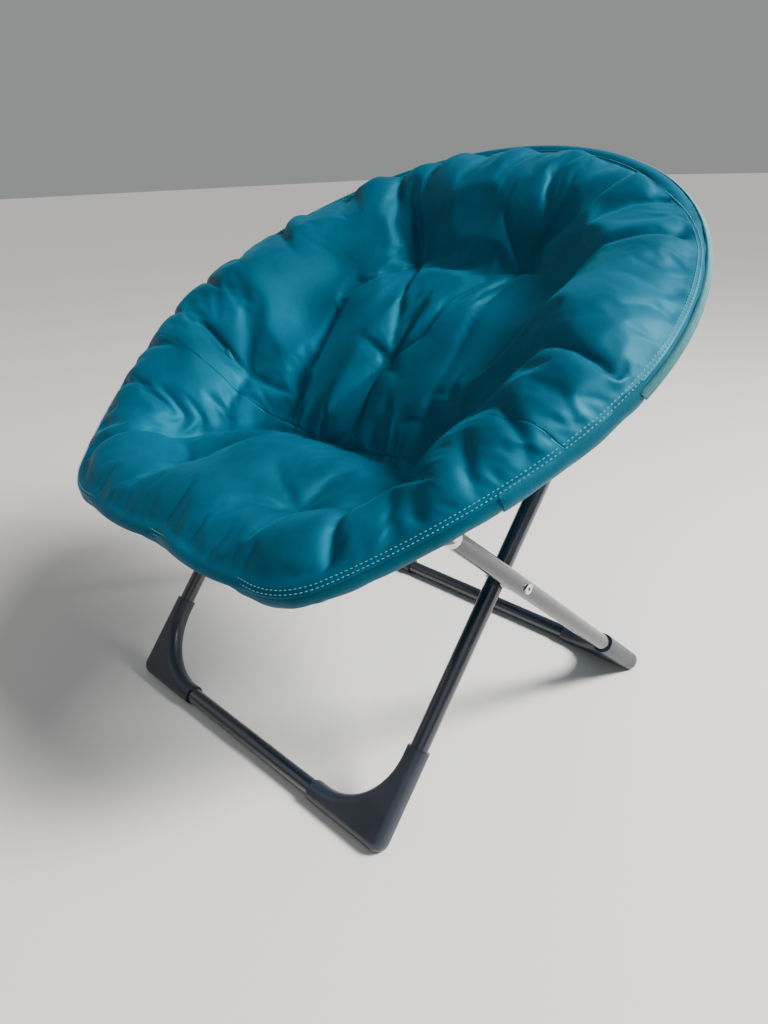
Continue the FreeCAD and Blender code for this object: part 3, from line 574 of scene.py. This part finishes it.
# %% [markdown]
# ## Swelling the pad
#
# Shrinking by a negative amount makes the cloth larger than the shape that it is pinned to, and
# that slack is what wrinkles it round the tufts and along the rim. Pressure stands for the fill.
# No point may move further than a cap, so the pad stays in its space.

# %% Cloth simulation
SWELL_FRAMES = 20
MOST_SWELL = 0.024


def swell(piece, pressure, slack, group):
    """Runs Cloth on the piece with gravity off, and applies the result."""
    before = read_points(piece)
    modifier = piece.modifiers.new("swell", "CLOTH")
    settings = modifier.settings
    settings.quality = 6
    settings.mass = 0.25
    settings.tension_stiffness = 20
    settings.compression_stiffness = 10
    settings.shear_stiffness = 5
    settings.bending_stiffness = 0.04
    settings.vertex_group_mass = group
    settings.use_pressure = True
    settings.uniform_pressure_force = pressure
    settings.shrink_min = -slack
    settings.effector_weights.gravity = 0
    modifier.point_cache.frame_start = 1
    modifier.point_cache.frame_end = SWELL_FRAMES
    scene = bpy.context.scene
    for number in range(1, SWELL_FRAMES + 1):
        scene.frame_set(number)
    apply_modifiers(piece)
    scene.frame_set(1)
    moved = read_points(piece) - before
    length = np.linalg.norm(moved, axis=1)
    moved *= np.minimum(1.0, MOST_SWELL / np.maximum(length, 1e-9))[:, None]
    write_points(piece, before + moved)
    print(piece.name, "swelled by up to", round(float(length.max()), 4))


swell(cover, 3.2, 0.05, "held")

# %% [markdown]
# ## Room for the frame
#
# Swollen cloth knows nothing of its neighbours. At the rim the cover's edge lies flat over the
# tube's sleeve, where it is sewn down, and rises into a full roll just inside the stitches. Below,
# it stays clear of the tube, the legs' upper ends and their white saddles.

# %% Flat over the tube, clear of the legs
ROLL_SLOPE = 2.2
LEG_BAND = (0.225, 0.330)
LEG_ROOM = -0.0125

points = read_points(cover)
lip_under = crown(inset) + LIP_CLEAR
over_tube = inset < SLEEVE_RADIUS + 0.001
stitched = inset < sewn
top = points[:count, 2]
top = np.minimum(top, crown(sewn) + LIP_CLEAR + LIP_THICK + ROLL_SLOPE * np.maximum(inset - sewn, 0))
top = np.maximum(top, np.where(over_tube, lip_under + LIP_THICK, -1))
top = np.where(stitched, lip_under + LIP_THICK, top)
below = points[count:, 2]
below = np.where(over_tube, lip_under, np.minimum(below, top - LIP_THICK))
by_legs = (np.abs(points[count:, 0]) > LEG_BAND[0]) & (np.abs(points[count:, 0]) < LEG_BAND[1])
below = np.where(by_legs, np.maximum(below, LEG_ROOM), below)
points[:, 2] = np.append(top, below)
write_points(cover, points)
finer = cover.modifiers.new("finer", "SUBSURF")
finer.levels = finer.render_levels = 1
apply_modifiers(cover)
bpy.ops.object.shade_smooth()
cover.data.transform(RING)
print("cover faces:", len(cover.data.polygons))

# %% Cutting the cover in two at the crease
def cut_half(source, name, normal, offset):
    """A closed copy of the source on one side of the plane across the hinge line."""
    half = source.copy()
    half.data = source.data.copy()
    half.name = name
    bpy.context.collection.objects.link(half)
    make_active(half)
    bpy.ops.object.mode_set(mode="EDIT")
    bpy.ops.mesh.select_all(action="SELECT")
    bpy.ops.mesh.bisect(
        plane_co=hinge_place + UP_RING * offset, plane_no=normal, use_fill=True, clear_inner=True
    )
    bpy.ops.object.mode_set(mode="OBJECT")
    return half


back_cover = cut_half(cover, "back_cover", UP_RING, 0.0002)
seat_cover = cut_half(cover, "seat_cover", -UP_RING, -0.0002)
bpy.data.objects.remove(cover)
for piece, body, joint in (
    (back_cover, "back_hoop", "back_hoop_pivot"), (seat_cover, "front_hoop", "hoop_hinge")
):
    piece.data.materials.clear()
    piece.data.materials.append(cover_cloth)
    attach(piece, body)
    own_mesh(piece)
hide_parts("back_pad")
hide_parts("seat_pad")

# %% [markdown]
# ## The hem
#
# A sleeve of the same cloth holds the tube, and the cover's edge is sewn down on top of it. The
# sleeve's section is drawn once, with a slit near its top that the cover hides, and swept along each
# hoop as a curve's bevel. Both sleeves stop short of the hinge, and a flap of cloth wraps the hinge
# between them.

# %% Hem section
SLEEVE_WALL = 0.0016
STITCH_ROWS = (-0.0048, -0.0012)
BACK_SLEEVE_START = 0.095
FRONT_SLEEVE_START = 0.062


def round_wall(radius):
    angles = np.linspace(radians(80), radians(430), 25)
    return [(radius * cos(angle), radius * sin(angle)) for angle in angles]


HEM_SECTION = round_wall(SLEEVE_RADIUS) + list(reversed(round_wall(SLEEVE_RADIUS - SLEEVE_WALL)))
FRINGE_INNER = np.array([-0.0131, 0.0062])
FRINGE_OUTER = np.array([-0.0186, -0.0028])
FRINGE_THICK = np.array([-0.0012, 0.0006])
FRINGE_SECTION = [
    tuple(FRINGE_INNER), tuple(FRINGE_OUTER),
    tuple(FRINGE_OUTER - FRINGE_THICK), tuple(FRINGE_INNER - FRINGE_THICK),
]


def flat_curve(name, line, cyclic=False):
    curve = bpy.data.curves.new(name, "CURVE")
    curve.dimensions = "3D"
    spline = curve.splines.new("POLY")
    spline.points.add(len(line) - 1)
    for point, (x, y) in zip(spline.points, line):
        point.co = (x, y, 0, 1)
    spline.use_cyclic_u = cyclic
    piece = bpy.data.objects.new(name, curve)
    bpy.context.collection.objects.link(piece)
    return piece


def sweep(name, line, section, inward, grow=1.0):
    """The section swept along a line on the ring's plane; inward is 1 if the bowl is on its right."""
    corners = [(inward * grow * x, grow * y) for x, y in section]
    outline = flat_curve(name + "_section", corners, cyclic=True)
    piece = flat_curve(name, line)
    piece.data.twist_mode = "Z_UP"
    piece.data.bevel_mode = "OBJECT"
    piece.data.bevel_object = outline
    piece.data.use_fill_caps = True
    make_active(piece)
    bpy.ops.object.convert(target="MESH")
    piece = bpy.context.object
    bpy.ops.object.mode_set(mode="EDIT")
    bpy.ops.mesh.select_all(action="SELECT")
    bpy.ops.mesh.remove_doubles(threshold=0.00001)
    bpy.ops.mesh.normals_make_consistent(inside=False)
    bpy.ops.object.mode_set(mode="OBJECT")
    bpy.data.objects.remove(outline)
    bpy.ops.object.shade_smooth_by_angle(angle=radians(50))
    return piece


def measured(line):
    corners = np.array(line)
    return corners, np.append(0, np.cumsum(np.linalg.norm(np.diff(corners, axis=0), axis=1)))


def at_marks(line, marks):
    """Points of the line at these distances along it."""
    corners, length = measured(line)
    return list(zip(np.interp(marks, length, corners[:, 0]), np.interp(marks, length, corners[:, 1])))


def evenly(line, step):
    total = measured(line)[1][-1]
    return at_marks(line, np.linspace(0, total, max(int(round(total / step)) + 1, 4)))


def from_hinge(half_line, start):
    """A half line without its first stretch, of this length, from the hinge."""
    length = measured(half_line)[1]
    return at_marks(half_line, np.append(start, length[length > start + 1e-4]))


PUCKER_SCALE = 42.0


def pucker_at(point, depth, seed):
    """How far drawn cloth stands in or out here."""
    return depth * noise.noise(Vector(point) * PUCKER_SCALE + Vector((seed, 0, 0)))


def pucker(piece, depth, seed):
    points = read_points(piece)
    normals = np.array([vertex.normal for vertex in piece.data.vertices])
    shift = np.array([pucker_at(point, depth, seed) for point in points])
    write_points(piece, points + normals * shift[:, None])


def dress(piece, finish, body=None):
    """Puts a finished cloth piece in the chair's frame, with its finish and its body."""
    piece.data.transform(RING)
    piece.data.materials.clear()
    piece.data.materials.append(finish)
    if body:
        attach(piece, body)


back_line = mirrored_line(from_hinge(back_hoop_line(0.0, 160), BACK_SLEEVE_START))
front_line = mirrored_line(from_hinge(front_hoop_line(0.0, 80), FRONT_SLEEVE_START))
HEM_PUCKER = 0.0014
HEM_STEP = 0.006
# The sleeves take the darker hem cloth, whose colour is painted shade.
back_hem = sweep("back_hem", evenly(back_line, HEM_STEP), HEM_SECTION, -1)
front_hem = sweep("front_hem", evenly(front_line, HEM_STEP), HEM_SECTION, 1)
for piece, body, seed in ((back_hem, "back_hoop", 3.0), (front_hem, "front_hoop", 9.0)):
    pucker(piece, HEM_PUCKER, seed)
    dress(piece, hem_cloth, body)
    print(piece.name, "faces:", len(piece.data.polygons))
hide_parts("back_sleeve")
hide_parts("front_sleeve")

# %% [markdown]
# ## Stitches
#
# One stitch is a small flattened bead of thread. It is copied along two rows round the whole rim,
# on the cover's edge. The raw edge of the back cover shows as a narrow overlocked fringe: a strip
# of cloth that leans outwards, with slanting loops of thread over it.

# %% Rows of stitches
STITCH_PITCH = 0.0050
LOOP_PITCH = 0.0021


def bead(length, width, height, segments=6, rings=4):
    """One bead of thread, along X, as points and faces."""
    bpy.ops.object.select_all(action="DESELECT")
    bpy.ops.mesh.primitive_uv_sphere_add(segments=segments, ring_count=rings, radius=1.0)
    piece = bpy.context.object
    corners = read_points(piece)[:, [2, 0, 1]] * np.array([length, width, height]) / 2
    faces = [tuple(face.vertices) for face in piece.data.polygons]
    bpy.data.objects.remove(piece)
    return corners, faces


def scatter(name, pattern, places):
    """Copies of a small pattern in one piece; a place is a point and the three axes there."""
    corners, faces = pattern
    all_points = []
    all_faces = []
    for number, (point, axes) in enumerate(places):
        all_points.append(corners @ axes + point)
        start = number * len(corners)
        all_faces += [tuple(start + corner for corner in face) for face in faces]
    mesh = bpy.data.meshes.new(name)
    mesh.from_pydata(np.vstack(all_points).tolist(), [], all_faces)
    piece = bpy.data.objects.new(name, mesh)
    bpy.context.collection.objects.link(piece)
    make_active(piece)
    bpy.ops.object.shade_smooth()
    return piece


def beside(line, step, inward, place, slope=0.0, slant=0.0):
    """Even places beside a line; place is (in from the line, height) and slope is the cloth's fall.

    slant turns each copy away from the line's own heading.
    """
    marks = np.array(evenly(line, step))
    run = np.gradient(marks, axis=0)
    run /= np.linalg.norm(run, axis=1)[:, None]
    places = []
    for (x, a), (dx, da) in zip(marks, run):
        heading = np.array([dx, da, 0.0])
        side = np.array([da, -dx, 0.0]) * inward
        point = np.array([x, a, 0.0]) + side * place[0] + np.array([0, 0, place[1]])
        slide = side * cos(slope) + np.array([0, 0, sin(slope)])
        first = heading * cos(slant) + slide * sin(slant)
        second = slide * cos(slant) - heading * sin(slant)
        places.append((point, np.array([first, second, np.cross(first, second)])))
    return places


stitch = bead(0.0034, 0.0010, 0.0010)
STITCH_GAP = 0.004
back_edge = mirrored_line(from_hinge(back_hoop_line(0.0, 160), STITCH_GAP))
front_edge = mirrored_line(from_hinge(front_hoop_line(0.0, 80), STITCH_GAP))
for name, line, body, inward in (
    ("back_cover_stitches", back_edge, "back_hoop", -1),
    ("front_cover_stitches", front_edge, "front_hoop", 1),
):
    places = []
    for row in STITCH_ROWS:
        for point, axes in beside(line, STITCH_PITCH, inward, (0, 0)):
            aside = sewn_at(point[1]) + row
            height = float(crown(aside)) + LIP_CLEAR + LIP_THICK + 0.0002
            places.append((point + axes[1] * aside + np.array([0, 0, height]), axes))
    dress(scatter(name, stitch, places), thread, body)
    print(name, len(places))

# %% Overlocked fringe outside the back hem
fringe = sweep("back_hem_fringe", evenly(back_line, HEM_STEP), FRINGE_SECTION, -1)
dress(fringe, hem_cloth, "back_hoop")
fringe_fall = float(np.arctan2(*(FRINGE_INNER - FRINGE_OUTER)[::-1]))
loop_bead = bead(0.0105, 0.0013, 0.0026, segments=5, rings=4)
places = []
for slant in (1.15, 1.95):
    fringe_middle = tuple((FRINGE_INNER + FRINGE_OUTER + FRINGE_THICK) / 2)
    places += beside(back_line, LOOP_PITCH, -1, fringe_middle, fringe_fall, slant)
dress(scatter("back_hem_overlock", loop_bead, places), overlock_thread, "back_hoop")
print("overlock loops:", len(places))

# %% Flaps over the hinges
FLAP_GROW = 1.09
FLAP_LAP = 0.010
whole_right = list(reversed(back_hoop_line(0.0, 160))) + front_hoop_line(0.0, 80)[1:]
hinge_at = measured(back_hoop_line(0.0, 160))[1][-1]
flap_line = at_marks(
    whole_right,
    np.linspace(hinge_at - BACK_SLEEVE_START - FLAP_LAP, hinge_at + FRONT_SLEEVE_START + FLAP_LAP, 32),
)
for side, sign in (("right", 1), ("left", -1)):
    line = [(sign * x, a) for x, a in flap_line]
    flap = sweep(f"hinge_flap_{side}", line, HEM_SECTION, sign, FLAP_GROW)
    pucker(flap, HEM_PUCKER, 5.0 * sign)
    dress(flap, hem_cloth)
    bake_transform(flap)
    if sign > 0:
        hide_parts("hinge_flaps")
print("flap length:", round(measured(flap_line)[1][-1], 3))

# %% [markdown]
# ## Floor, light and camera
#
# A wide plain pale floor, a large soft key light high behind the right side like a window, a soft
# sun from the same side that lights the far floor evenly, and two weak fills. The camera stands at
# the front right, a little above the seat's rim.

# %% Floor
FLOOR_SIZE = 60.0
bpy.ops.object.select_all(action="DESELECT")
bpy.ops.mesh.primitive_plane_add(size=FLOOR_SIZE, location=(0, 0, 0))
floor = bpy.context.object
floor.name = "floor"
pale_floor = new_material(
    "pale_floor", Base_Color=(0.74, 0.72, 0.69, 1), Roughness=0.8, Specular_IOR_Level=0.2
)
floor.data.materials.append(pale_floor)

# %% Lights
def area_light(name, place, target, size, power, colour):
    lamp = bpy.data.lights.new(name, "AREA")
    lamp.shape = "RECTANGLE"
    lamp.size, lamp.size_y = size
    lamp.energy = power
    lamp.color = colour
    holder = bpy.data.objects.new(name, lamp)
    bpy.context.collection.objects.link(holder)
    holder.location = place
    holder.rotation_euler = (Vector(target) - Vector(place)).to_track_quat("-Z", "Y").to_euler()
    return holder


CHAIR_MIDDLE = (0.0, 0.0, 0.45)
area_light("window", (2.0, 1.1, 2.3), CHAIR_MIDDLE, (0.9, 0.9), 190, (1.0, 0.99, 0.97))
area_light("sky_fill", (-2.2, -1.8, 2.0), CHAIR_MIDDLE, (2.5, 2.0), 8, (0.90, 0.95, 1.0))
area_light("front_fill", (1.9, -2.2, 1.6), CHAIR_MIDDLE, (2.0, 1.6), 6, (0.95, 0.97, 1.0))
daylight = bpy.data.lights.new("daylight", "SUN")
daylight.energy = 2.2
daylight.angle = radians(16)
day_holder = bpy.data.objects.new("daylight", daylight)
bpy.context.collection.objects.link(day_holder)
day_heading = Vector(CHAIR_MIDDLE) - Vector((2.0, 1.1, 2.9))
day_holder.rotation_euler = day_heading.to_track_quat("-Z", "Y").to_euler()
room = bpy.data.worlds.new("room")
room.use_nodes = True
room.node_tree.nodes["Background"].inputs["Color"].default_value = (0.86, 0.87, 0.88, 1)
room.node_tree.nodes["Background"].inputs["Strength"].default_value = 0.34
bpy.context.scene.world = room

# %% Camera
CAMERA_PLACE = Vector((0.7284, -0.7003, 0.7142))
CAMERA_AZIMUTH = radians(46.0)
CAMERA_DIP = radians(24.3)
CAMERA_ROLL = radians(-2.0)
CAMERA_LENS = 27.07
camera_data = bpy.data.cameras.new("camera")
camera_data.lens = CAMERA_LENS
camera_data.sensor_width = 36
camera = bpy.data.objects.new("camera", camera_data)
bpy.context.collection.objects.link(camera)
camera.matrix_world = (
    Matrix.Translation(CAMERA_PLACE)
    @ Matrix.Rotation(CAMERA_AZIMUTH, 4, "Z")
    @ Matrix.Rotation(pi / 2 - CAMERA_DIP, 4, "X")
    @ Matrix.Rotation(CAMERA_ROLL, 4, "Z")
)
bpy.context.scene.camera = camera
